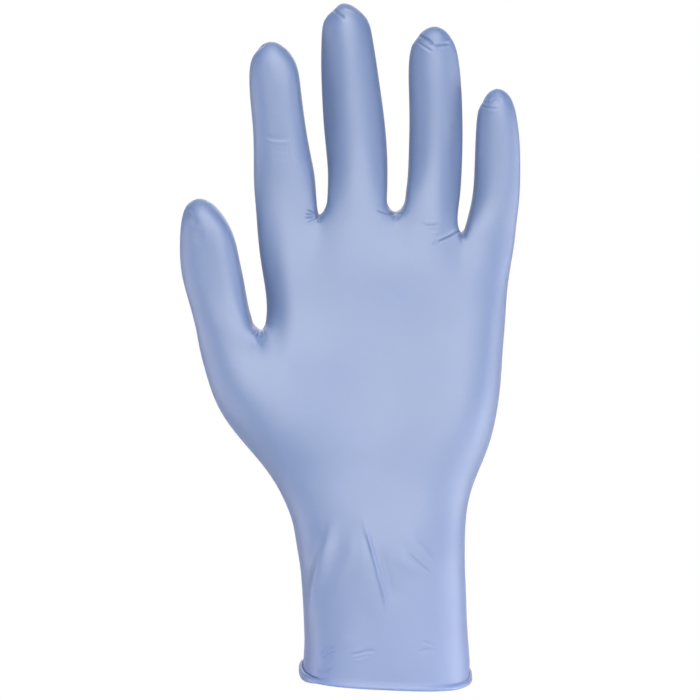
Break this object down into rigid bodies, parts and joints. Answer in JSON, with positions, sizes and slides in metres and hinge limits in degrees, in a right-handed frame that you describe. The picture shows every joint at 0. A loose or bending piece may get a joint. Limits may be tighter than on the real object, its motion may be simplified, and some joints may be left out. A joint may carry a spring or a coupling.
{
  "type": "nitrile exam glove",
  "caption": "Thin hand-shaped glove in its worn form: one hollow film with finger and thumb stalls, open at the cuff, with a rolled bead round its edge.",
  "frame": {"origin": "middle of the cuff's mouth, where the wrist goes in", "axes": "+Z along the hand to the fingertips, +X to the little finger's side, +Y to the back of the hand"},
  "size_m": [0.1195, 0.054, 0.2398],
  "materials": {
    "nitrile": "smooth satin film, light periwinkle blue"
  },
  "bodies": {
    "root": {"exam_glove": "nitrile"}
  },
  "joints": []
}
